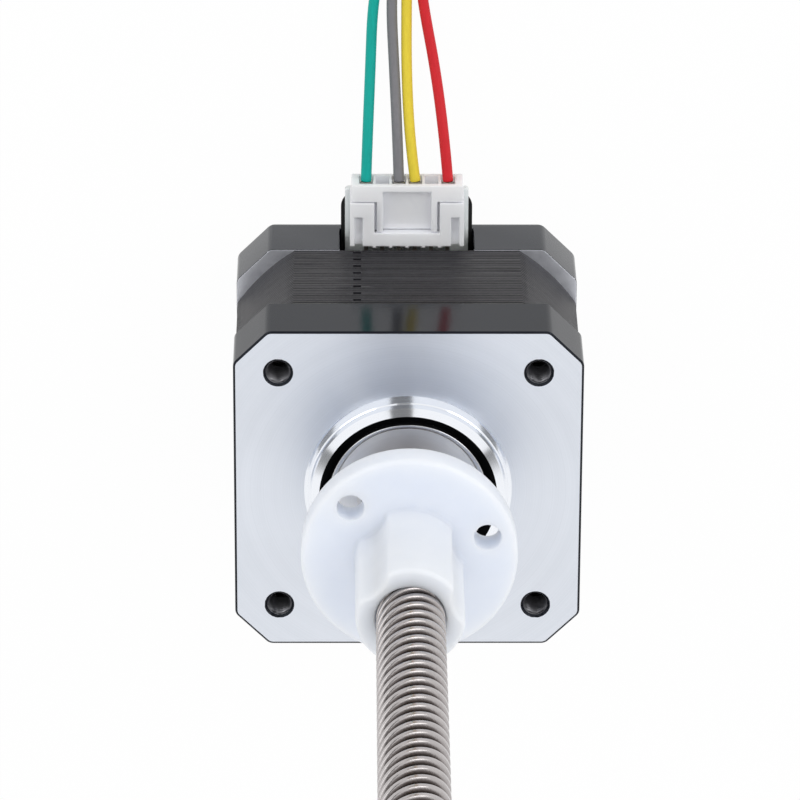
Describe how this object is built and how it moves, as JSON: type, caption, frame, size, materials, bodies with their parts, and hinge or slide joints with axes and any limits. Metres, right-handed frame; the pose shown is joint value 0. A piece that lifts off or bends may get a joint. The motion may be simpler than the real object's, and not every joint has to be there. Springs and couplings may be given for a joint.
{
  "type": "linear stepper motor",
  "caption": "Square stepper motor whose shaft is a trapezoidal lead screw, with a flanged plastic nut that travels along the screw and a plugged-in lead set.",
  "frame": {"origin": "on the screw's axis, in the plane of the machined front mounting face", "axes": "+Z along the screw, away from the motor; +Y towards the side that the connector is on"},
  "size_m": [0.0528, 0.1265, 0.133],
  "materials": {
    "front_casting": "black paint, mounting face and pilot boss machined bright",
    "rear_casting": "black paint",
    "stator_sheet": "stacked sheet edges, dark satin coat",
    "fastener_steel": "zinc plated, dull",
    "spring_steel": "blued spring strip",
    "insulator_nylon": "moulded nylon",
    "winding_copper": "enamelled copper wire",
    "board_laminate": "glass laminate, pale green edges",
    "black_film": "thin black insulating sheet",
    "connector_white": "white moulded nylon",
    "tinned_contact": "tin plated, bright",
    "screw_steel": "rolled thread, bright crests",
    "rotor_sheet": "ground sheet edges",
    "magnet": "nickel plated magnet",
    "spacer_aluminium": "turned",
    "nut_plastic": "natural white acetal, slightly translucent",
    "bearing_steel": "ground",
    "shield_steel": "pressed sheet",
    "coil_insulation": "soft wire insulation",
    "tie_plastic": "black nylon strap",
    "insulation_green": "soft wire insulation, green",
    "insulation_grey": "soft wire insulation, grey",
    "insulation_yellow": "soft wire insulation, yellow",
    "insulation_red": "soft wire insulation, red"
  },
  "bodies": {
    "motor": {"front_cover": "front_casting", "stator_stack": "stator_sheet", "rear_cover": "rear_casting", "through_screws": "fastener_steel", "wave_washer": "spring_steel", "front_slot_insulator": "insulator_nylon", "rear_slot_insulator": "insulator_nylon", "phase_a_windings": "winding_copper", "phase_b_windings": "winding_copper", "terminal_board": "board_laminate", "board_insulator": "black_film", "header_housing": "connector_white", "header_pins": "tinned_contact", "front_bearing_outer_ring": "bearing_steel", "front_bearing_balls": "bearing_steel", "front_bearing_shields": "shield_steel", "rear_bearing_outer_ring": "bearing_steel", "rear_bearing_balls": "bearing_steel", "rear_bearing_shields": "shield_steel"},
    "rotor": {"lead_screw": "screw_steel", "front_rotor_cup": "rotor_sheet", "rotor_magnet": "magnet", "rear_rotor_cup": "rotor_sheet", "rotor_spacer": "spacer_aluminium", "front_bearing_inner_ring": "bearing_steel", "rear_bearing_inner_ring": "bearing_steel"},
    "nut": {"lead_nut": "nut_plastic"},
    "lead_set": {"plug_housing": "connector_white", "crimp_terminals": "tinned_contact", "wire_green": "insulation_green", "wire_grey": "insulation_grey", "wire_yellow": "insulation_yellow", "wire_red": "insulation_red", "wire_end_green": "insulation_green", "wire_end_grey": "insulation_grey", "wire_end_yellow": "insulation_yellow", "wire_end_red": "insulation_red", "lead_coil": "coil_insulation", "coil_tie": "tie_plastic", "far_plug": "connector_white", "far_terminals": "tinned_contact"}
  },
  "joints": [
    {"name": "screw_spin", "type": "hinge", "parent": "motor", "child": "rotor", "pos_m": [0, 0, 0], "axis": [0, 0, 1], "range_deg": [-2880, 517.5]},
    {"name": "nut_travel", "type": "slide", "parent": "motor", "child": "nut", "axis": [0, 0, 1], "range_m": [-0.0116, 0.0641]},
    {"name": "plug_pull", "type": "slide", "parent": "motor", "child": "lead_set", "axis": [0, 1, 0], "range_m": [0, 0.006]}
  ],
  "couplings": [
    {"joint": "nut_travel", "follows": "screw_spin", "m_per_rad": -0.0012732}
  ]
}
